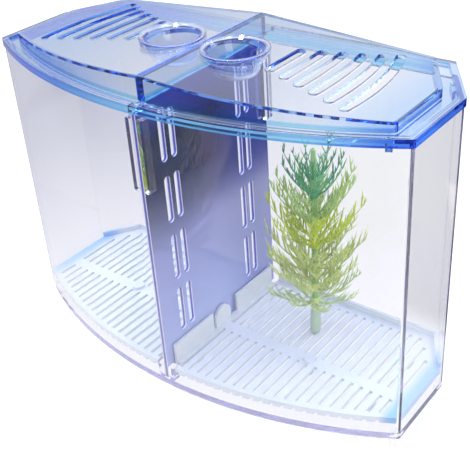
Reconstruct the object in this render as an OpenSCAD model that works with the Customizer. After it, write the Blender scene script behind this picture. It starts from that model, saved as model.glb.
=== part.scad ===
// Two-compartment breeding box for small fish, standing on a table.
// Origin: centre of the footprint on the table, +Z up. The divider lies in the plane X = 0.
// The bowed front faces -Y and the flat back faces +Y.

/* [Overall size] */
// Length over the ends of the closed lids
box_len = 190; // [160:1:230]
// Depth over the lids, from the middle of the bow to the flat back
box_depth = 87.6; // [84:0.2:96]
// How far the front bows out between the ends
bow = 24.7; // [18:0.1:28]
// Distance the end walls run back before the chamfer, from the middle line
end_run = 16.9; // [12:0.1:20]
// Half length of the flat back of the lids
back_half = 78.4; // [70:0.1:85]
// Height of the tank walls above the table
wall_top = 128.4; // [110:0.2:150]

/* [Tank] */
// Thickness of the tank walls
wall_t = 1.6; // [1.2:0.1:2.4]
// Height of the corner feet
foot_h = 7; // [4:0.5:9]
// Thickness of the tank floor
floor_t = 2.1; // [1.5:0.1:3]
// How far the lid rim overhangs the tank wall
rim_overhang = 0.5; // [0.2:0.1:1.5]
// Width of the lid ledge behind the back wall
back_ledge = 8.6; // [6:0.2:10]
// Radius of the tank's upright edges
edge_r = 2; // [1.7:0.1:3]
// Radius of the lids' upright edges
lid_edge_r = 1.4; // [0.8:0.1:2]
// Thickness of a divider guide rib
guide_t = 2.6; // [1.6:0.1:3]
// How far a guide rib stands in from the wall
guide_reach = 3.4; // [2.5:0.1:4.5]
// Top of the lower guide ribs
low_guide_top = 15.5; // [13:0.5:24]
// Bottom of the upper guide ribs
high_guide_bottom = 97; // [80:1:100]
// Top of the upper guide ribs
high_guide_top = 126; // [110:1:126]

/* [Divider] */
// Thickness of the divider sheet
divider_t = 2; // [1.4:0.1:2.2]
// Height of the raised middle of the divider
divider_top = 130.4; // [129:0.1:130.5]
// Width of one divider slot
divider_slot_w = 3.2; // [2:0.1:4]
// Distance between the two slots of a pair
pair_pitch = 5.4; // [5:0.1:8]

/* [Grates] */
// Height of the upper face of the grates
grate_top = 16.3; // [14:0.1:20]
// Thickness of the grate sheet
grate_t = 1.5; // [1.2:0.1:2]
// Width of one grate slot
grate_slot_w = 1.5; // [1:0.1:2.4]
// Distance between neighbouring grate slots
grate_pitch = 4.22; // [3.8:0.01:4.3]
// Height of the edge that hangs down round the grate
grate_edge_h = 2.7; // [2:0.1:4]
// Height of the wall beside the divider
split_wall_top = 24.6; // [20:0.2:30]
// Height of the lip along the back and the chamfer
lip_h = 2.5; // [1:0.1:4]

/* [Lids] */
// Thickness of the lid sheet
lid_t = 1.5; // [1.2:0.1:2]
// Height of the outer rim of the lids
rim_h = 3.15; // [2.4:0.05:4]
// Width of the outer rim of the lids
rim_w = 2.6; // [2:0.1:3.5]
// Height of the raised panel at the divider
panel_mid_z = 140.4; // [134:0.1:146]
// Height of the raised panel at the ends
panel_end_z = 134.6; // [133:0.1:140]
// Inset of the raised panel along the bowed front
panel_in_front = 5.9; // [5:0.1:8]
// Inset of the raised panel at the ends and the chamfers
panel_in_end = 7.7; // [6:0.1:9]
// Width of one vent slot
vent_w = 3.8; // [2:0.1:4.2]
// Distance between neighbouring vent slots
vent_pitch = 7.35; // [6:0.05:7.6]

/* [Cups] */
// Distance of a cup from the divider plane
cup_x = 14.8; // [14.7:0.1:20]
// Distance of a cup from the middle line
cup_y = -2.1; // [-6:0.1:6]
// Outer radius of the cup flange
cup_flange_r = 12.9; // [12:0.1:13]
// Depth of the cup below its flange
cup_depth = 11.1; // [8:0.1:12]

/* [Plant] */
// Height of the plant above the grate
plant_h = 86.5; // [60:0.5:90]
// Reach of the widest whorl, from the middle of the stem
plant_reach = 21.8; // [14:0.1:24]
// Thickness of the leaf blades
leaf_t = 0.9; // [0.6:0.1:1.4]

/* [Fits] */
// Gap under a lid rim, a cup flange or a plant foot
seat_gap = 0.25; // [0.15:0.05:0.4]
// Gap between the grates and the tank walls
grate_gap = 0.4; // [0.3:0.05:0.8]
// Gap between the divider and its guides, each side
guide_gap = 0.25; // [0.15:0.05:0.4]
// Half of the gap between the two lids
split_gap = 0.2; // [0.15:0.05:0.4]

/* [Hidden] */
round_fn = 96;
fine_fn = 48;
half_len = box_len / 2;
y_front = -box_depth / 2;
y_back = box_depth / 2;
bow_r = (half_len * half_len + bow * bow) / (2 * bow);
bow_c = y_front + bow_r;
chamfer_len = sqrt((half_len - back_half) * (half_len - back_half) + (y_back - end_run) * (y_back - end_run));
chamfer_nx = (y_back - end_run) / chamfer_len;
chamfer_ny = (half_len - back_half) / chamfer_len;
chamfer_c = chamfer_nx * half_len + chamfer_ny * end_run;
tank_back = y_back - back_ledge;
inner_in = rim_overhang + wall_t;
inner_back = tank_back - wall_t;
floor_top = foot_h + floor_t;
guide_x = divider_t / 2 + guide_gap;
inner_front = bow_c - (bow_r - inner_in);
divider_front = inner_front + 0.3;
divider_back = inner_back - 0.4;
divider_bottom = floor_top + 0.3;
low_shoulder = wall_top - seat_gap;
slots_front = -26.8;
slots_back = 17.4;
grate_in = inner_in + grate_gap;
grate_back = inner_back - grate_gap;
grate_bottom = floor_top + 0.3;
grate_edge_z = grate_top - grate_edge_h;
grate_x0 = divider_t / 2 + 0.6;
grate_edge = 2.1;
grate_wall = 1.4;
split_wall_t = 1.2;
notch_x = guide_x + guide_t + 0.9;
notch_front = inner_front + guide_reach + 0.9;
notch_back = inner_back - guide_reach - 0.9;
bar_y0 = -9.8;
bar_y1 = -4.5;
first_slot_x = 5.75;
slot_last = 19;
rim_z0 = wall_top + seat_gap;
rim_z1 = rim_z0 + rim_h;
ledge_z1 = rim_z1 - 0.8;
ledge_z0 = ledge_z1 - lid_t;
panel_back = y_back - 8.2;
panel_half = half_len - panel_in_end;
panel_angle = atan((panel_mid_z - panel_end_z) / panel_half);
collar_top = panel_mid_z - 0.35;
cup_seat_z = collar_top + seat_gap;
cup_top_z = cup_seat_z + 1.05;
cup_hole_r = cup_flange_r - 1.3;
cup_r = cup_hole_r - 0.4;
plant_x = first_slot_x + 8 * grate_pitch;
plant_y = 9.6;
plant_z = grate_top + seat_gap;
whorl_twigs = 8;

function end_x(d) = half_len - d;
function front_y(d, x) = bow_c - sqrt((bow_r - d) * (bow_r - d) - x * x);
function turn_y(d) = (chamfer_c - d - chamfer_nx * end_x(d)) / chamfer_ny;
function turn_x(d, yb) = (chamfer_c - d - chamfer_ny * yb) / chamfer_nx;
function chamfer_y(d, x) = (chamfer_c - d - chamfer_nx * x) / chamfer_ny;

function arc_points(x, y, r, a0, a1) = [
  for (i = [0 : 6]) let (a = a0 + (a1 - a0) * i / 6) [x + r * cos(a), y + r * sin(a)]
];

// Corner points of the right half from the bow to the flat back: df is the inset at the front, de the
// inset at the ends and the chamfer, yb the back and r the corner radius.
function front_corner(df, de, r) =
  let (x = end_x(de + r), y = front_y(df + r, x), a = 0.85 * atan2(y - bow_c, x))
  concat(
    [[x + r * cos(a) + 3 * sin(a), y_front - 5], [x + r * cos(a) + 3 * sin(a), y + r * sin(a) - 3 * cos(a)]],
    arc_points(x, y, r, a, 0)
  );
function rear_corners(de, yb, r) =
  let (a = atan2(chamfer_ny, chamfer_nx), x = end_x(de + r), bx = turn_x(de + r, yb - r))
  concat(arc_points(x, turn_y(de + r), r, 0, a), arc_points(bx, yb - r, r, a, 90));
function round_half(df, de, yb, r) = concat(front_corner(df, de, r), rear_corners(de, yb, r));
function sharp_half(de, yb) = [
  [end_x(de), y_front - 5],
  [end_x(de), turn_y(de)],
  [turn_x(de, yb), yb]
];
function flipped(points) = [for (i = [len(points) - 1 : -1 : 0]) [-points[i][0], points[i][1]]];

module outline(df, de, yb, r) {
  half = r > 0 ? round_half(df, de, yb, r) : sharp_half(de, yb);
  intersection() {
    translate([0, bow_c]) circle(r = bow_r - df, $fn = 256);
    polygon(concat(half, flipped(half)));
  }
}

module slab(df, de, yb, r, z0, z1) {
  translate([0, 0, z0]) linear_extrude(height = z1 - z0) outline(df, de, yb, r);
}

// Keeps the part of its children with X above x0.
module right_of(x0) {
  intersection() {
    children();
    translate([x0, -80, -1]) cube([130, 160, 200]);
  }
}

// One foot follows the wall round a corner of the tank.
module feet_right() {
  intersection() {
    difference() {
      slab(2, 2, tank_back - 1.5, 0, 0, foot_h + 0.5);
      slab(4, 4, tank_back - 3.5, 0, -1, foot_h + 1);
    }
    union() {
      translate([half_len - 4.6, -32, 0]) cube([10, 18, foot_h + 0.5]);
      translate([half_len - 4.6, 14, 0]) cube([10, 5.5, foot_h + 0.5]);
    }
  }
}

// One rib beside the divider, standing in from the wall. Its lower end is round where bottom_r is above 0.
module guide(y0, z0, z1, bottom_r) {
  translate([guide_x, y0, z0 + bottom_r]) cube([guide_t, guide_reach + 0.8, z1 - z0 - bottom_r]);
  if (bottom_r > 0)
    translate([guide_x + guide_t / 2, y0 + guide_reach + 0.8, z0 + bottom_r]) rotate([90, 0, 0])
      cylinder(r = bottom_r, h = guide_reach + 0.8, $fn = fine_fn);
}

// The ribs on the front wall and the back wall, on one side of the divider.
module guide_pair(z0, z1, bottom_r) {
  guide(inner_front - 0.8, z0, z1, bottom_r);
  guide(inner_back - guide_reach, z0, z1, bottom_r);
}

module tank() color([0.84, 0.85, 0.93, 0.35]) {
  difference() {
    slab(rim_overhang, rim_overhang, tank_back, edge_r, foot_h, wall_top);
    slab(inner_in, inner_in, inner_back, 1, floor_top, wall_top + 1);
  }
  feet_right();
  mirror([1, 0, 0]) feet_right();
  guide_pair(floor_top - 0.3, low_guide_top, 0);
  guide_pair(high_guide_bottom, high_guide_top, guide_t / 2);
  mirror([1, 0, 0]) guide_pair(floor_top - 0.3, low_guide_top, 0);
  mirror([1, 0, 0]) guide_pair(high_guide_bottom, high_guide_top, guide_t / 2);
}

// One divider slot, running through the sheet.
module divider_slot(y, z0, z1) {
  r = divider_slot_w / 2;
  translate([-5, y - r, z0 + r]) cube([10, divider_slot_w, z1 - z0 - divider_slot_w]);
  translate([-5, y, z0 + r]) rotate([0, 90, 0]) cylinder(r = r, h = 10, $fn = fine_fn);
  translate([-5, y, z1 - r]) rotate([0, 90, 0]) cylinder(r = r, h = 10, $fn = fine_fn);
}

module divider() color([0.25, 0.25, 0.62, 0.8]) {
  difference() {
    union() {
      translate([-divider_t / 2, divider_front, divider_bottom])
        cube([divider_t, divider_back - divider_front, low_shoulder - divider_bottom]);
      translate([-divider_t / 2, y_front + 7.8, low_shoulder - 1])
        cube([divider_t, divider_back - y_front - 7.8, divider_top - low_shoulder + 1]);
    }
    for (middle = [slots_front, slots_back], side = [-1, 1]) {
      y = middle + side * pair_pitch / 2;
      divider_slot(y, 27.5, 48);
      divider_slot(y, 52.5, 73);
      divider_slot(y, 78.5, 98.3);
      divider_slot(y, 104.3, 124.3);
    }
  }
}

// The lower edge of the front is notched at the slot pitch.
module edge_notches() {
  for (i = [0 : slot_last])
    translate([first_slot_x + i * grate_pitch - grate_slot_w / 2, -50, grate_edge_z - 1])
      cube([grate_slot_w, 50, 1.9]);
}

// Round leg between two slots, standing just above the tank floor.
module grate_leg(strip, y) {
  translate([first_slot_x + (strip + 0.5) * grate_pitch, y, grate_bottom])
    cylinder(r = 1.3, h = grate_top - 0.5 - grate_bottom, $fn = fine_fn);
}

module grate_slots() {
  for (i = [0 : slot_last]) {
    x = first_slot_x + i * grate_pitch;
    y0 = front_y(grate_in + grate_edge, x + grate_slot_w / 2);
    y1 = min(grate_back - 4.5, chamfer_y(grate_in + 4.5, x + grate_slot_w / 2));
    translate([x - grate_slot_w / 2, y0, grate_top - 3]) cube([grate_slot_w, bar_y0 - y0, 5]);
    translate([x - grate_slot_w / 2, bar_y1, grate_top - 3]) cube([grate_slot_w, y1 - bar_y1, 5]);
  }
}

module grate() {
  difference() {
    union() {
      // Sheet with its slots
      right_of(grate_x0) difference() {
        slab(grate_in, grate_in, grate_back, 0.6, grate_top - grate_t, grate_top);
        grate_slots();
      }
      // Edge that hangs down round the sheet
      right_of(grate_x0) difference() {
        slab(grate_in, grate_in, grate_back, 0.6, grate_edge_z, grate_top - 0.5);
        slab(grate_in + grate_wall, grate_in + grate_wall, grate_back - grate_wall, 0, 0, 30);
        edge_notches();
      }
      // Legs
      grate_leg(0, -29);
      grate_leg(0, 22);
      grate_leg(17, -13);
      grate_leg(17, 16);
      translate([47.1, (bar_y0 + bar_y1) / 2, grate_bottom])
        cylinder(r = 1.8, h = grate_top - 0.5 - grate_bottom, $fn = fine_fn);
      // Low lip along the back and the chamfer
      difference() {
        slab(grate_in, grate_in, grate_back, 0.6, grate_top - 0.5, grate_top + lip_h);
        slab(grate_in + 1.2, grate_in + 1.2, grate_back - 1.2, 0, 0, 30);
        translate([-120, -60, 0]) cube([240, 60 + end_run - 1, 40]);
        translate([-120, -60, 0]) cube([120 + grate_x0, 120, 40]);
      }
      // Wall beside the divider, with a gap for the finger tab
      translate([grate_x0, notch_front - 0.8, grate_edge_z])
        cube([split_wall_t, notch_back - notch_front + 1.6, grate_top - grate_edge_z]);
      translate([grate_x0, notch_front - 0.8, grate_top - 0.5])
        cube([split_wall_t, -13 - notch_front + 0.8, split_wall_top - grate_top + 0.5]);
      translate([grate_x0, 3.4, grate_top - 0.5])
        cube([split_wall_t, notch_back + 0.8 - 3.4, split_wall_top - grate_top + 0.5]);
      translate([grate_x0, -11.4, grate_top - 0.5]) cube([split_wall_t, 10, 4.2]);
      translate([grate_x0, -6.4, 20]) rotate([0, 90, 0]) cylinder(r = 5, h = split_wall_t, $fn = round_fn);
      // Round boss on the plain bar
      translate([47.1, (bar_y0 + bar_y1) / 2, grate_top - 0.5]) cylinder(r = 2.6, h = 1.9, $fn = fine_fn);
    }
    // Clearance for the divider guides
    translate([-5, y_front - 5, 0]) cube([notch_x + 5, notch_front - y_front + 5, 40]);
    translate([-5, notch_back, 0]) cube([notch_x + 5, 20, 40]);
  }
}

module right_grate() color([0.72, 0.84, 0.96, 0.7]) grate();

module left_grate() color([0.72, 0.84, 0.96, 0.7]) mirror([1, 0, 0]) grate();

// Outline of one vent slot, bowed towards the end and round at both ends. Slot k counts from the divider.
function vent_points(k) =
  let (
    rk = 530 / max(k, 0.05),
    cx = 33.1 + k * vent_pitch - rk,
    w = vent_w / 2,
    a0 = asin((w - 3.7 - 2.1 * k) / rk),
    a1 = asin((19.3 + 3.25 * k - w) / rk),
    da = (a1 - a0) / 10,
    x0 = cx + rk * cos(a0),
    y0 = rk * sin(a0) - 5,
    x1 = cx + rk * cos(a1),
    y1 = rk * sin(a1) - 5
  )
  concat(
    [for (i = [0 : 10]) let (a = a0 + da * i) [cx + (rk + w) * cos(a), (rk + w) * sin(a) - 5]],
    [for (i = [1 : 7]) let (a = a1 + 22.5 * i) [x1 + w * cos(a), y1 + w * sin(a)]],
    [for (i = [10 : -1 : 0]) let (a = a0 + da * i) [cx + (rk - w) * cos(a), (rk - w) * sin(a) - 5]],
    [for (i = [1 : 7]) let (a = a0 + 180 + 22.5 * i) [x0 + w * cos(a), y0 + w * sin(a)]]
  );

module vent(k) {
  translate([0, 0, 120]) linear_extrude(height = 40) polygon(vent_points(k));
}

// Space below the sloping panel, lowered by drop.
module below_panel(drop) {
  translate([0, 0, panel_mid_z - drop]) rotate([0, panel_angle, 0])
    translate([-60, -80, -60]) cube([220, 160, 60]);
}

module lid() {
  difference() {
    union() {
      // Ledge
      right_of(split_gap) slab(0, 0, y_back, lid_edge_r, ledge_z0, ledge_z1);
      // Raised outer rim
      right_of(split_gap) difference() {
        slab(0, 0, y_back, lid_edge_r, rim_z0, rim_z1);
        slab(rim_w, rim_w, y_back - rim_w, 0, 0, 200);
      }
      // Raised panel with its skirt, still solid
      right_of(split_gap) intersection() {
        slab(panel_in_front, panel_in_end, panel_back, 2.5, rim_z0, 150);
        below_panel(0);
      }
      // Collar of the cup
      intersection() {
        translate([cup_x, cup_y, 0]) cylinder(r = cup_flange_r - 0.3, h = collar_top, $fn = round_fn);
        translate([0, -30, rim_z1]) cube([60, 60, 30]);
      }
      // Locating lugs inside the tank wall
      intersection() {
        difference() {
          slab(inner_in + 0.4, inner_in + 0.4, inner_back, 0, rim_z0 - 2.2, ledge_z1);
          slab(inner_in + 1.8, inner_in + 1.8, inner_back - 1.4, 0, 0, 200);
        }
        union() {
          translate([half_len - 9, -34, 120]) cube([4, 14, 20]);
          translate([half_len - 16, 20, 120]) cube([9, 8, 20]);
        }
      }
    }
    // Hollow under the raised panel
    intersection() {
      slab(panel_in_front + lid_t, panel_in_end + lid_t, panel_back - lid_t, 1.6, 100, 150);
      below_panel(lid_t);
      translate([split_gap + lid_t, -80, 0]) cube([130, 160, 200]);
    }
    // Room for the raised middle of the divider
    translate([-5, y_front + 7.4, 100])
      cube([5 + divider_t / 2 + lid_t, panel_back - lid_t - y_front - 7.4, 30.8]);
    translate([cup_x, cup_y, 100]) cylinder(r = cup_hole_r, h = 60, $fn = round_fn);
    for (k = [0 : 5]) vent(k);
  }
}

module right_lid() color([0.62, 0.8, 0.97, 0.6]) lid();

module left_lid() color([0.62, 0.8, 0.97, 0.6]) mirror([1, 0, 0]) lid();

// Cup profile: flared rim, tapering wall and rounded bottom.
module cup() {
  z0 = cup_top_z - cup_depth - 0.6;
  rotate_extrude($fn = round_fn) difference() {
    union() {
      translate([0, cup_seat_z]) square([cup_flange_r - 0.4, cup_top_z - cup_seat_z]);
      translate([cup_flange_r - 0.4, (cup_seat_z + cup_top_z) / 2]) circle(r = 0.4, $fn = fine_fn);
      polygon([[0, z0], [5, z0], [8.95, z0 + 3.2], [cup_r, cup_seat_z + 0.1], [0, cup_seat_z + 0.1]]);
      translate([5, z0 + 4]) circle(r = 4, $fn = round_fn);
    }
    union() {
      polygon([
        [-1, z0 + 1.1],
        [5, z0 + 1.1],
        [7.8, z0 + 3.4],
        [cup_r - 1.1, cup_seat_z],
        [cup_r + 0.9, cup_top_z],
        [cup_r + 0.9, cup_top_z + 1],
        [-1, cup_top_z + 1]
      ]);
      translate([5, z0 + 4]) circle(r = 2.9, $fn = round_fn);
    }
    translate([-20, 0]) square([20, 200]);
  }
}

module right_cup() color([0.6, 0.62, 0.97, 0.55]) translate([cup_x, cup_y, 0]) cup();

module left_cup() color([0.6, 0.62, 0.97, 0.55]) translate([-cup_x, cup_y, 0]) cup();

// Stem with a bulb foot and a flat tongue that stands in a slot of the grate.
module plant_stem() color([0.3, 0.55, 0.25]) translate([plant_x, plant_y, 0]) {
  translate([0, 0, plant_z]) rotate_extrude($fn = fine_fn) polygon([
    [0, 0],
    [1.7, 0],
    [2.3, 1.5],
    [2.4, 5],
    [2, 10],
    [1.3, 15],
    [1.25, plant_h - 12],
    [0.9, plant_h - 1],
    [0, plant_h]
  ]);
  translate([-0.7, -1.5, plant_z - 1.4]) cube([1.4, 3, 2]);
}

// One twig seen from the side: a rising rib with side leaflets. w is its reach and h its rise.
module twig(w, h) {
  rotate([90, 0, 0]) translate([0, 0, -leaf_t / 2]) linear_extrude(height = leaf_t) polygon([
    [1.6, -0.9],
    [w * 0.3, h * 0.08],
    [w * 0.52, h * 0.02],
    [w * 0.45, h * 0.17],
    [w * 0.62, h * 0.34],
    [w * 0.88, h * 0.36],
    [w * 0.68, h * 0.44],
    [w * 0.84, h * 0.62],
    [w, h * 0.72],
    [w * 0.87, h * 0.72],
    [w * 0.93, h],
    [w * 0.78, h * 0.72],
    [w * 0.66, h * 0.56],
    [w * 0.66, h * 0.86],
    [w * 0.57, h * 0.46],
    [w * 0.45, h * 0.34],
    [w * 0.4, h * 0.66],
    [w * 0.34, h * 0.26],
    [w * 0.2, h * 0.16],
    [w * 0.16, h * 0.4],
    [1.6, 1.4]
  ]);
}

// A whorl of twigs on a hub that is threaded on the stem. Its place and its rise are shares of the plant's
// height, and its width is a share of the widest reach.
module whorl(place, width, rise, turn) {
  translate([plant_x, plant_y, plant_z + place * plant_h]) {
    difference() {
      union() {
        translate([0, 0, -1.6]) cylinder(r = 2.3, h = 3.6, $fn = fine_fn);
        for (i = [0 : whorl_twigs - 1])
          rotate([0, 0, turn + i * 360 / whorl_twigs]) twig(width * plant_reach, rise * plant_h);
      }
      translate([0, 0, -20]) cylinder(r = 1.5, h = 60, $fn = fine_fn);
    }
  }
}

module plant_whorl_1() color([0.45, 0.66, 0.3]) whorl(0.185, 0.92, 0.125, 0);

module plant_whorl_2() color([0.5, 0.7, 0.25]) whorl(0.266, 0.93, 0.197, 20);

module plant_whorl_3() color([0.52, 0.7, 0.2]) whorl(0.382, 1, 0.231, 22.5);

module plant_whorl_4() color([0.5, 0.68, 0.15]) whorl(0.509, 0.97, 0.254, 31);

module plant_whorl_5() color([0.35, 0.6, 0.25]) whorl(0.636, 0.83, 0.243, 14);

module plant_whorl_6() color([0.15, 0.5, 0.35]) whorl(0.775, 0.64, 0.214, 3);

tank();
divider();
left_lid();
right_lid();
left_cup();
right_cup();
left_grate();
right_grate();
plant_stem();
plant_whorl_1();
plant_whorl_2();
plant_whorl_3();
plant_whorl_4();
plant_whorl_5();
plant_whorl_6();
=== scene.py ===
"""Looks of the fish breeding box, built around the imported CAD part."""

import math
import random

import bmesh
import bpy
from mathutils import Matrix, Vector


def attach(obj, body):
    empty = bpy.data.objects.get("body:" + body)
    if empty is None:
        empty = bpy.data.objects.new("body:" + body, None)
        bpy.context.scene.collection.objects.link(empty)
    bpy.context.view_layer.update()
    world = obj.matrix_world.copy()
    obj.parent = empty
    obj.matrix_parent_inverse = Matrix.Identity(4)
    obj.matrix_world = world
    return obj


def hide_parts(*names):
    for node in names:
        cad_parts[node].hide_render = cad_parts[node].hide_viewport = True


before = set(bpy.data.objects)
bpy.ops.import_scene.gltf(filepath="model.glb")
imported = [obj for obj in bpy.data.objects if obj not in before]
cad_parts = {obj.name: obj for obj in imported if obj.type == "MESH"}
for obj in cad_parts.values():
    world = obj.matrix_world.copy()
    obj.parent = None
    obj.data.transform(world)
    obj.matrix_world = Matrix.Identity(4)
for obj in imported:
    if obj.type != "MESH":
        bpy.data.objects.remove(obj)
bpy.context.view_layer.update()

MM = 0.001

# Camera

CAMERA_AT = (0.203272, -0.238878, 0.252498)
CAMERA_LOOK = Vector((-0.538108, 0.654077, -0.531623))
CAMERA_UP = Vector((-0.280773, 0.455603, 0.844744))
LENS = 67.986


def add_object(name, data):
    ob = bpy.data.objects.new(name, data)
    bpy.context.scene.collection.objects.link(ob)
    return ob


def make_camera():
    data = bpy.data.cameras.new("camera")
    data.sensor_width = 36
    data.lens = LENS
    data.clip_start = 0.01
    data.clip_end = 20
    cam = add_object("camera", data)
    look = CAMERA_LOOK.normalized()
    right = look.cross(CAMERA_UP).normalized()
    up = right.cross(look)
    m = Matrix((right, up, -look)).transposed().to_4x4()
    m.translation = Vector(CAMERA_AT)
    cam.matrix_world = m
    bpy.context.scene.camera = cam


# Shader nodes

NOISE_RANGE = (0.3, 0.7)


def clear_nodes(nt):
    for n in list(nt.nodes):
        nt.nodes.remove(n)


def new_material(name):
    mat = bpy.data.materials.new(name)
    mat.use_nodes = True
    nt = mat.node_tree
    clear_nodes(nt)
    out = nt.nodes.new("ShaderNodeOutputMaterial")
    shader = nt.nodes.new("ShaderNodeBsdfPrincipled")
    nt.links.new(shader.outputs[0], out.inputs["Surface"])
    return mat, nt, out, shader


def coords(nt):
    return nt.nodes.new("ShaderNodeTexCoord").outputs["Object"]


def split(nt, vector):
    """The three parts of a vector."""
    sep = nt.nodes.new("ShaderNodeSeparateXYZ")
    nt.links.new(vector, sep.inputs[0])
    return sep.outputs


def axes(nt):
    """The place on the object, as three values in metres."""
    return split(nt, coords(nt))


def facing(nt, axis):
    """How squarely a face looks along one axis, 0 to 1."""
    geo = nt.nodes.new("ShaderNodeNewGeometry")
    return maths(nt, "ABSOLUTE", split(nt, geo.outputs["True Normal"])[axis])


def upright(nt):
    """1 on upright faces and 0 on level ones."""
    return maths(nt, "LESS_THAN", facing(nt, 2), 0.5)


def maths(nt, operation, *values):
    n = nt.nodes.new("ShaderNodeMath")
    n.operation = operation
    for socket, v in zip(n.inputs, values):
        if isinstance(v, (int, float)):
            socket.default_value = v
        else:
            nt.links.new(v, socket)
    return n.outputs[0]


def distance(nt, value, centre, size):
    """How far value is from centre, with size as 1."""
    off = maths(nt, "ABSOLUTE", maths(nt, "SUBTRACT", value, centre))
    return maths(nt, "MULTIPLY", off, 1 / size)


def noise(nt, scale, detail):
    n = nt.nodes.new("ShaderNodeTexNoise")
    n.inputs["Scale"].default_value = scale
    n.inputs["Detail"].default_value = detail
    nt.links.new(coords(nt), n.inputs["Vector"])
    return n.outputs["Fac"]


def map_range(nt, value, low, high):
    """A node that turns low to high into 0 to 1."""
    m = nt.nodes.new("ShaderNodeMapRange")
    m.inputs["From Min"].default_value = low
    m.inputs["From Max"].default_value = high
    nt.links.new(value, m.inputs["Value"])
    return m


def spread(nt, value, low, high):
    """Noise stretched to run from low to high."""
    m = map_range(nt, value, *NOISE_RANGE)
    m.inputs["To Min"].default_value = low
    m.inputs["To Max"].default_value = high
    return m.outputs["Result"]


def smooth(nt, value, low, high):
    """0 to 1 from low to high, with soft ends."""
    m = map_range(nt, value, low, high)
    m.interpolation_type = "SMOOTHSTEP"
    return m.outputs["Result"]


def bump(nt, shader, value, height):
    b = nt.nodes.new("ShaderNodeBump")
    b.inputs["Distance"].default_value = height
    nt.links.new(value, b.inputs["Height"])
    nt.links.new(b.outputs["Normal"], shader.inputs["Normal"])


def ramp(nt, value, stops):
    r = nt.nodes.new("ShaderNodeValToRGB")
    e = r.color_ramp.elements
    while len(e) < len(stops):
        e.new(0.5)
    for el, (at, col) in zip(e, stops):
        el.position = at
        el.color = (*col, 1)
    nt.links.new(value, r.inputs["Fac"])
    return r.outputs["Color"]


def mix_colour(nt, factor, one, two):
    m = nt.nodes.new("ShaderNodeMix")
    m.data_type = "RGBA"
    nt.links.new(factor, m.inputs["Factor"])
    for name, v in (("A", one), ("B", two)):
        socket = next(i for i in m.inputs if i.name == name and i.type == "RGBA")
        if isinstance(v, tuple):
            socket.default_value = (*v, 1)
        else:
            nt.links.new(v, socket)
    return next(o for o in m.outputs if o.type == "RGBA")


def mix_shaders(nt, factor, one, two):
    m = nt.nodes.new("ShaderNodeMixShader")
    nt.links.new(factor, m.inputs[0])
    nt.links.new(one, m.inputs[1])
    nt.links.new(two, m.inputs[2])
    return m.outputs[0]


# Plastics of the box, with lengths in metres

# RIGHT_END, LEFT_END and LID_RIM_TOP place the painted deeper blue of the lids at their ends and
# rim.
RIGHT_END = (0.062, 0.092)
LEFT_END = (0.0, 0.075)
LID_RIM_TOP = 0.1323
DIVIDER_H = 0.13
# DIVIDER_BACK is where the painted reflection on the divider turns bluer; CUT_EDGE_CORE is the
# core between the painted highlights of its cut edges.
DIVIDER_BACK = (-0.01, 0.026)
CUT_EDGE_CORE = 0.00055
GRATE_END = (0.0855, 0.0905)


def plain_tint(face, side):
    """One tint for level faces and one for upright ones."""
    return lambda nt: mix_colour(nt, upright(nt), face, side)


def lid_tint(nt):
    """Near clear on the panel, bluer on the skirt and bluest on the outer rim.
    All of them are deeper towards the ends. The lid plastic is blue, but these deeper blues are
    painted light:
    they stand in for the colour that light gathers on long paths through the plastic, and the cyan
    rim is a painted highlight."""
    x, _, z = axes(nt)
    right = smooth(nt, x, *RIGHT_END)
    left = smooth(nt, maths(nt, "MULTIPLY", x, -1), *LEFT_END)
    away = maths(nt, "MAXIMUM", right, left)
    # Painted light: deeper blue on the skirt, the rim and towards the ends, with a painted
    # highlight in the rim's cyan.
    panel = mix_colour(nt, away, (0.93, 0.955, 1.0), (0.58, 0.76, 1.0))
    skirt = mix_colour(nt, away, (0.88, 0.94, 1.0), (0.36, 0.6, 1.0))
    rim = mix_colour(nt, away, (0.42, 0.76, 0.93), (0.09, 0.24, 0.84))
    low = maths(nt, "LESS_THAN", z, LID_RIM_TOP)
    return mix_colour(nt, upright(nt), panel, mix_colour(nt, low, skirt, rim))


def clear_plastic(name, tint, absorb, density, shadow):
    """Moulded clear plastic: it bends light, takes up colour with thickness
    and lets the lamps through in the shadow colour."""
    mat, nt, out, sh = new_material(name)
    nt.links.new(tint(nt), sh.inputs["Base Color"])
    sh.inputs["Transmission Weight"].default_value = 0.995
    sh.inputs["IOR"].default_value = 1.49
    nt.links.new(spread(nt, noise(nt, 60, 4), 0.0, 0.02), sh.inputs["Roughness"])
    bump(nt, sh, noise(nt, 35, 2), 0.00003)
    path = nt.nodes.new("ShaderNodeLightPath")
    see = nt.nodes.new("ShaderNodeBsdfTransparent")
    see.inputs["Color"].default_value = (*shadow, 1)
    both = mix_shaders(nt, path.outputs["Is Shadow Ray"], sh.outputs[0], see.outputs[0])
    nt.links.new(both, out.inputs["Surface"])
    vol = nt.nodes.new("ShaderNodeVolumeAbsorption")
    vol.inputs["Color"].default_value = (*absorb, 1)
    vol.inputs["Density"].default_value = density
    nt.links.new(vol.outputs[0], out.inputs["Volume"])
    return mat


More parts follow.
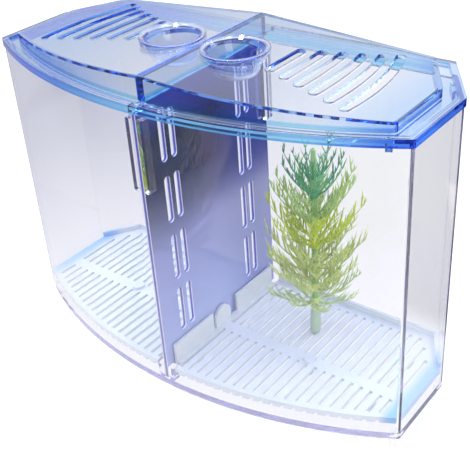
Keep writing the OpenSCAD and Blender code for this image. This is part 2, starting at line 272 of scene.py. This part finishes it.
def divider_plastic():
    """Polished tinted sheet, navy at the top and lavender below, bluer towards the back:
    this shading is a painted reflection of the room's tones. Its cut edges carry a painted
    highlight near both faces and are deep blue between them."""
    mat, nt, _, sh = new_material("divider_blue")
    x, y, z = axes(nt)
    # Painted reflection: navy at the top and lavender below, bluer towards the back.
    share = maths(nt, "MULTIPLY_ADD", z, 1 / DIVIDER_H, -0.05)
    height = maths(nt, "MULTIPLY_ADD", noise(nt, 22, 3), 0.1, share)
    front = ramp(nt, height, [
        (0.0, (0.48, 0.57, 0.95)),
        (0.35, (0.34, 0.38, 0.72)),
        (0.52, (0.3, 0.31, 0.62)),
        (0.64, (0.12, 0.12, 0.26)),
        (0.74, (0.012, 0.012, 0.09)),
        (0.88, (0.006, 0.006, 0.06)),
        (0.97, (0.02, 0.03, 0.3)),
    ])
    back = ramp(nt, height, [
        (0.0, (0.2, 0.27, 0.66)),
        (0.3, (0.27, 0.31, 0.66)),
        (0.5, (0.27, 0.29, 0.6)),
        (0.58, (0.1, 0.12, 0.42)),
        (0.68, (0.03, 0.05, 0.3)),
        (1.0, (0.02, 0.04, 0.34)),
    ])
    face = mix_colour(nt, smooth(nt, y, *DIVIDER_BACK), front, back)
    # Painted highlight near both faces of the cut edges, deep blue in the core.
    painted_highlight_band = maths(nt, "GREATER_THAN", maths(nt, "ABSOLUTE", x), CUT_EDGE_CORE)
    edge = mix_colour(nt, painted_highlight_band, (0.1, 0.09, 0.5), (0.86, 0.86, 0.97))
    cut = maths(nt, "LESS_THAN", facing(nt, 0), 0.5)
    nt.links.new(mix_colour(nt, cut, face, edge), sh.inputs["Base Color"])
    nt.links.new(spread(nt, noise(nt, 40, 3), 0.02, 0.06), sh.inputs["Roughness"])
    sh.inputs["Transmission Weight"].default_value = 0.12
    sh.inputs["IOR"].default_value = 1.52
    sh.inputs["Coat Weight"].default_value = 0.5
    sh.inputs["Coat Roughness"].default_value = 0.02
    return mat


def grate_plastic():
    """Milky pale blue plastic, deeper blue at the ends of the box.
    Level faces are painted darker and upright faces lighter: painted shade and painted light.
    """
    mat, nt, _, sh = new_material("grate_blue")
    # Painted shade on level faces and painted light on upright faces.
    level = ramp(nt, noise(nt, 40, 4), [(0.3, (0.68, 0.74, 0.88)), (0.7, (0.75, 0.8, 0.92))])
    pale = mix_colour(nt, upright(nt), level, (0.9, 0.95, 1.0))
    x, _, _ = axes(nt)
    end = smooth(nt, maths(nt, "ABSOLUTE", x), *GRATE_END)
    nt.links.new(mix_colour(nt, end, pale, (0.3, 0.56, 0.92)), sh.inputs["Base Color"])
    nt.links.new(spread(nt, noise(nt, 90, 4), 0.12, 0.24), sh.inputs["Roughness"])
    bump(nt, sh, noise(nt, 45, 3), 0.00003)
    sh.inputs["Transmission Weight"].default_value = 0.3
    sh.inputs["IOR"].default_value = 1.45
    return mat


# Plastics of the plant

STEM_FOOT = (0.024, 0.04)


def soft_green(name, colour):
    """Soft satin plastic. colour makes the socket that drives its base colour."""
    mat, nt, _, sh = new_material(name)
    nt.links.new(colour(nt), sh.inputs["Base Color"])
    nt.links.new(spread(nt, noise(nt, 300, 3), 0.35, 0.55), sh.inputs["Roughness"])
    bump(nt, sh, noise(nt, 900, 2), 0.00005)
    sh.inputs["Subsurface Weight"].default_value = 0.4
    sh.inputs["Subsurface Radius"].default_value = (0.002, 0.003, 0.001)
    return mat


def leaf_plastic(name, dark, middle, light):
    stops = [(0.25, dark), (0.5, middle), (0.75, light)]
    return soft_green(name, lambda nt: ramp(nt, noise(nt, 120, 4), stops))


def stem_plastic():
    """Greyish green at the foot and fresh green above it."""
    stops = [(0.1, (0.42, 0.54, 0.43)), (0.6, (0.38, 0.56, 0.24)), (1.0, (0.3, 0.52, 0.2))]

    def colour(nt):
        _, _, z = axes(nt)
        up = maths(nt, "MULTIPLY_ADD", noise(nt, 120, 4), 0.2, smooth(nt, z, *STEM_FOOT))
        return ramp(nt, up, stops)

    return soft_green("plant_stem_green", colour)


def paint(nodes, mat):
    for node in nodes:
        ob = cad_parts[node]
        ob = bpy.data.objects[ob] if isinstance(ob, str) else ob
        if not ob.material_slots:
            ob.data.materials.append(mat)
        for s in ob.material_slots:
            s.material = mat


def paint_parts():
    tank_tint = plain_tint((0.97, 0.97, 0.995), (0.985, 0.985, 0.996))
    cup_tint = plain_tint((0.91, 0.95, 1.0), (0.78, 0.87, 1.0))
    tank = clear_plastic("tank_clear", tank_tint, (0.45, 0.42, 0.93), 10, (0.95, 0.955, 0.975))
    lid = clear_plastic("lid_blue", lid_tint, (0.02, 0.4, 0.88), 55, (0.78, 0.88, 0.98))
    cup = clear_plastic("cup_blue", cup_tint, (0.08, 0.3, 0.88), 90, (0.78, 0.84, 0.97))
    paint(["tank"], tank)
    paint(["left_lid", "right_lid"], lid)
    paint(["left_cup", "right_cup"], cup)
    paint(["divider"], divider_plastic())
    paint(["left_grate", "right_grate"], grate_plastic())
    paint(["plant_stem"], stem_plastic())


# Plant, in millimetres. It stands in a slot of the right grate.

FIRST_SLOT_X = 5.75
GRATE_PITCH = 4.22
PLANT_SLOT = 8
PLANT_X = FIRST_SLOT_X + PLANT_SLOT * GRATE_PITCH
PLANT_Y = 9.6
PLANT_Z = 16.55
PLANT_H = 86.5
PLANT_REACH = 21.8
WHORLS = (
    # place as a share of the height, width of the reach, rise of the height, first turn
    (0.185, 0.92, 0.125, 0.0),
    (0.266, 0.93, 0.197, 20.0),
    (0.382, 1.0, 0.231, 22.5),
    (0.509, 0.97, 0.254, 31.0),
    (0.636, 0.83, 0.243, 14.0),
    (0.775, 0.64, 0.214, 3.0),
)
TWIGS = 8
SMALL_TWIGS = 4
YELLOW_GREEN = ((0.36, 0.46, 0.12), (0.58, 0.67, 0.2), (0.78, 0.84, 0.4))
LEAF_COLOURS = (
    # darkest, middle, lightest
    ((0.34, 0.5, 0.2), (0.54, 0.68, 0.28), (0.72, 0.82, 0.42)),
    YELLOW_GREEN,
    YELLOW_GREEN,
    ((0.36, 0.48, 0.03), (0.55, 0.65, 0.04), (0.74, 0.82, 0.16)),
    ((0.24, 0.42, 0.12), (0.44, 0.6, 0.2), (0.66, 0.78, 0.36)),
    ((0.03, 0.2, 0.1), (0.08, 0.36, 0.17), (0.26, 0.58, 0.3)),
)
SEED = 4100
STRAND_TAPER = (1.0, 1.05, 0.95, 0.8, 0.55, 0.22)
STRANDS_PER_MM = 0.34
LONGEST_STRAND = 11
FORKS_FROM = 4.5
RIB_STEPS = 8
RIB_START = 1.3
HUB_SIDES = 20
HUB = ((1.5, -1.7), (2.1, -1.5), (2.45, -0.6), (2.4, 0.8), (2.0, 1.9), (1.5, 2.2))


def turns(count):
    return [2 * math.pi * k / count for k in range(count)]


def join_rings(bm, one, two):
    n = len(one)
    for k in range(n):
        bm.faces.new((one[k], one[(k + 1) % n], two[(k + 1) % n], two[k]))


def spike(bm, points, radii, sides=4, flat=0.7):
    """A tapered strand along points, closed at both ends."""
    rings = []
    for i, (p, r) in enumerate(zip(points, radii)):
        a = points[max(i - 1, 0)]
        b = points[min(i + 1, len(points) - 1)]
        t = (b - a).normalized()
        u = Vector((0, 0, 1)).cross(t)
        if u.length < 1e-3:
            u = Vector((1, 0, 0)).cross(t)
        u.normalize()
        v = t.cross(u)
        rings.append([
            bm.verts.new((p + (u * math.cos(f) + v * math.sin(f) * flat) * r) * MM)
            for f in turns(sides)
        ])
    for one, two in zip(rings, rings[1:]):
        join_rings(bm, one, two)
    bm.faces.new(list(reversed(rings[0])))
    bm.faces.new(rings[-1])


def limit(p, base, reach, top):
    """Keeps a leaf tip inside the reach and below the top of its whorl."""
    flat = Vector((p.x - base.x, p.y - base.y, 0))
    if flat.length > reach:
        flat *= reach / flat.length
    return Vector((base.x + flat.x, base.y + flat.y, min(p.z, base.z + top)))


def strand(bm, start, way, length, lift, radius, keep):
    """A thin leaf that starts along way and curves up."""
    steps = len(STRAND_TAPER) - 1
    pts, p, d = [start], start, way.normalized()
    for _ in range(steps):
        d = (d + Vector((0, 0, lift / steps))).normalized()
        p = p + d * (length / steps)
        pts.append(keep(p))
    spike(bm, pts, [radius * f for f in STRAND_TAPER])
    return pts


def twig(bm, base, azimuth, reach, rise, rng):
    """A rising rib with pairs of strands, of which the longer ones fork."""
    out = Vector((math.cos(azimuth), math.sin(azimuth), 0))
    side = Vector((-math.sin(azimuth), math.cos(azimuth), 0))
    bend = rng.uniform(-0.07, 0.07)
    lift = rng.uniform(0.78, 1.0)
    top = rise * 1.08 + 0.8

    def keep(p):
        return limit(p, base, reach, top)

    def rib(t):
        r = RIB_START + (reach * 0.95 - RIB_START) * t ** 0.9
        up = rise * lift * (0.3 * t + 0.62 * t ** 1.7)
        return base + out * r + side * (bend * reach * t * t) + Vector((0, 0, up))

    shares = [i / RIB_STEPS for i in range(RIB_STEPS + 1)]
    spike(bm, [rib(t) for t in shares], [0.56 - 0.4 * t for t in shares], sides=5, flat=0.8)
    count = max(5, round(reach * STRANDS_PER_MM))
    for k in range(count):
        t = 0.12 + 0.8 * (k + rng.uniform(-0.2, 0.2)) / (count - 1)
        t = min(max(t, 0.05), 0.96)
        p = rib(t)
        on = (rib(min(t + 0.05, 1)) - rib(t - 0.05)).normalized()
        up = on.cross(side)
        if up.z < 0:
            up = -up
        for sign in (-1, 1):
            spin = sign * rng.uniform(0.5, 1.5)
            away = side * math.sin(spin) + up * math.cos(spin)
            open_angle = rng.uniform(0.45, 0.8)
            way = on * math.cos(open_angle) + away * math.sin(open_angle)
            length = reach * (0.58 - 0.27 * t) * rng.uniform(0.8, 1.15)
            length = min(length, LONGEST_STRAND)
            pts = strand(bm, p, way, length, rng.uniform(0.25, 0.6), rng.uniform(0.26, 0.34), keep)
            if length > FORKS_FROM:
                turn = -sign * rng.uniform(0.3, 1.2)
                away = side * math.sin(turn) + up * math.cos(turn)
                way = on * 0.85 + away * 0.5
                strand(bm, pts[2], way, length * rng.uniform(0.4, 0.58), 0.4, 0.27, keep)


def hub(bm, base):
    """The collar that holds a whorl's twigs on the stem."""
    rings = [
        [bm.verts.new((base + Vector((r * math.cos(f), r * math.sin(f), h))) * MM)
         for f in turns(HUB_SIDES)]
        for r, h in HUB
    ]
    for one, two in zip(rings, rings[1:] + rings[:1]):
        join_rings(bm, one, two)


def make_whorl(index):
    place, width, rise, turn = WHORLS[index]
    reach = width * PLANT_REACH
    rise = rise * PLANT_H
    rng = random.Random(SEED + index)
    bm = bmesh.new()
    base = Vector((PLANT_X, PLANT_Y, PLANT_Z + place * PLANT_H))
    for i in range(TWIGS):
        az = math.radians(turn + i * 360 / TWIGS + rng.uniform(-4, 4))
        start = base + Vector((0, 0, rng.uniform(-0.8, 1.4)))
        twig(bm, start, az, reach * rng.uniform(0.9, 1.0), rise, rng)
    for i in range(SMALL_TWIGS if index else 0):
        az = math.radians(turn + 25 + i * 360 / SMALL_TWIGS + rng.uniform(-20, 20))
        small = rng.uniform(0.55, 0.75)
        start = base + Vector((0, 0, rng.uniform(2.5, 7.5)))
        twig(bm, start, az, reach * small, rise * rng.uniform(0.6, 0.72), rng)
    hub(bm, base)
    bmesh.ops.recalc_face_normals(bm, faces=bm.faces)
    me = bpy.data.meshes.new(f"leaf_whorl_{index + 1}")
    bm.to_mesh(me)
    bm.free()
    for poly in me.polygons:
        poly.use_smooth = True
    ob = add_object(f"leaf_whorl_{index + 1}", me)
    me.materials.append(leaf_plastic(f"leaf_green_{index + 1}", *LEAF_COLOURS[index]))
    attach(ob, "plant")
    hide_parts(f"plant_whorl_{index + 1}")


# Table and light, with lengths in metres

TABLE_HALF = 6.0
FLOOR_GLOW = 0.35
ROOM_GLOW = 1.07
WORLD_LIGHT = 0.5

# Painted shade and painted reflection that the plastic shows on the table.
THROUGH_X = (-0.3, -0.02)
THROUGH_STOPS = [(0.0, (0.58, 0.59, 0.67)), (1.0, (0.96, 0.96, 0.98))]
FRONT_Y = (0.06, 0.2)
FRONT_MIRRORED = (0.2, 0.2, 0.24)
FRONT_THROUGH = (0.3, 0.3, 0.36)
DARK_X = (0.078, 0.105)
DARK_Y = (0.045, 0.07)
DARK = (0.03, 0.03, 0.05)
PATCH = (0.6, 0.52, 0.5)
PATCH_X = 0.126
PATCH_Y = 0.132
PATCH_SLOPE = 1.1
PATCH_WIDE = 0.033
PATCH_LONG = 0.046
PATCH_FADE = (0.85, 1.1)

LAMP_TARGET = (0, 0, 0.06)
LAMPS = (
    # name, place, width and height, watts
    ("key", (-0.5, -0.5, 1.2), (0.8, 0.8), 9),
    ("back", (0.4, 0.9, 0.9), (0.9, 0.6), 6),
    ("right", (0.9, -0.4, 0.5), (0.6, 0.6), 2.5),
    ("lamp_left", (-0.22, 0.1, 0.9), (0.09, 0.09), 0.8),
    ("lamp_right", (0.0, 0.16, 0.9), (0.09, 0.09), 0.8),
)


def emission(nt, strength):
    n = nt.nodes.new("ShaderNodeEmission")
    n.inputs["Color"].default_value = (1, 1, 1, 1)
    n.inputs["Strength"].default_value = strength
    return n


def table_tone(nt, path):
    """Straight through the plastic the table is lighter to the right, a painted shade. Only a
    mirrored ray shows the room's dark tones: in front, and behind right, where a lighter patch
    lies aslant.
    These tones are a painted reflection of the room."""
    x, y, _ = axes(nt)
    # Painted shade: greyer to the left through the plastic.
    through = ramp(nt, smooth(nt, x, *THROUGH_X), THROUGH_STOPS)
    # Painted reflection of the room's dark tones, in front and behind right, with a lighter patch.
    ahead = smooth(nt, maths(nt, "MULTIPLY", y, -1), *FRONT_Y)
    middle = maths(nt, "MULTIPLY_ADD", x, PATCH_SLOPE, PATCH_Y - PATCH_SLOPE * PATCH_X)
    across = distance(nt, y, middle, PATCH_WIDE)
    along = distance(nt, x, PATCH_X, PATCH_LONG)
    dark = mix_colour(nt, smooth(nt, maths(nt, "ADD", across, along), *PATCH_FADE), PATCH, DARK)
    behind = maths(nt, "MULTIPLY", smooth(nt, x, *DARK_X), smooth(nt, y, *DARK_Y))
    front = mix_colour(nt, path["Is Transmission Ray"], FRONT_MIRRORED, FRONT_THROUGH)
    room = mix_colour(nt, ahead, mix_colour(nt, behind, through, dark), front)
    mirrored = maths(nt, "GREATER_THAN", path["Glossy Depth"], 0.5)
    return mix_colour(nt, mirrored, through, room)


def make_table():
    """White where the camera sees it, and toned where the plastic shows it with painted shade and
    painted reflection.
    """
    mat, nt, out, sh = new_material("table_white")
    sh.inputs["Base Color"].default_value = (0.8, 0.8, 0.82, 1)
    nt.links.new(spread(nt, noise(nt, 8, 3), 0.1, 0.16), sh.inputs["Roughness"])
    path = nt.nodes.new("ShaderNodeLightPath").outputs
    add = nt.nodes.new("ShaderNodeAddShader")
    nt.links.new(sh.outputs[0], add.inputs[0])
    nt.links.new(emission(nt, FLOOR_GLOW).outputs[0], add.inputs[1])
    shown = emission(nt, ROOM_GLOW)
    nt.links.new(table_tone(nt, path), shown.inputs["Color"])
    plastic = maths(nt, "MAXIMUM", path["Is Glossy Ray"], path["Is Transmission Ray"])
    both = mix_shaders(nt, plastic, add.outputs[0], shown.outputs[0])
    nt.links.new(both, out.inputs["Surface"])
    me = bpy.data.meshes.new("table")
    s = TABLE_HALF
    me.from_pydata([(-s, -s, 0), (s, -s, 0), (s, s, 0), (-s, s, 0)], [], [(0, 1, 2, 3)])
    me.materials.append(mat)
    add_object("table", me)


def background(nt, colour, strength):
    n = nt.nodes.new("ShaderNodeBackground")
    n.inputs["Color"].default_value = (*colour, 1)
    n.inputs["Strength"].default_value = strength
    return n.outputs[0]


def make_world():
    """White where it is seen or mirrored, and plain light elsewhere."""
    world = bpy.data.worlds.new("studio")
    bpy.context.scene.world = world
    world.use_nodes = True
    nt = world.node_tree
    clear_nodes(nt)
    out = nt.nodes.new("ShaderNodeOutputWorld")
    lit = background(nt, (0.97, 0.98, 1.0), WORLD_LIGHT)
    seen = background(nt, (1, 1, 1), 1.0)
    path = nt.nodes.new("ShaderNodeLightPath").outputs
    plastic = maths(nt, "MAXIMUM", path["Is Transmission Ray"], path["Is Glossy Ray"])
    shown = maths(nt, "MAXIMUM", path["Is Camera Ray"], plastic)
    nt.links.new(mix_shaders(nt, shown, lit, seen), out.inputs["Surface"])


def area_light(name, at, size, watts):
    data = bpy.data.lights.new(name, "AREA")
    data.shape = "RECTANGLE"
    data.size, data.size_y = size
    data.energy = watts
    ob = add_object(name, data)
    ob.location = at
    ob.rotation_mode = "QUATERNION"
    ob.rotation_quaternion = (Vector(LAMP_TARGET) - Vector(at)).to_track_quat("-Z", "Y")


make_camera()
paint_parts()
for index in range(len(WHORLS)):
    make_whorl(index)
make_table()
make_world()
for lamp in LAMPS:
    area_light(*lamp)

scene = bpy.context.scene
scene.view_settings.view_transform = "Standard"
# Light that turns inside clear plastic counts as mirrored, so few bounces would leave black edges.
scene.cycles.max_bounces = 64
scene.cycles.transmission_bounces = 64
scene.cycles.glossy_bounces = 64
scene.cycles.transparent_max_bounces = 24
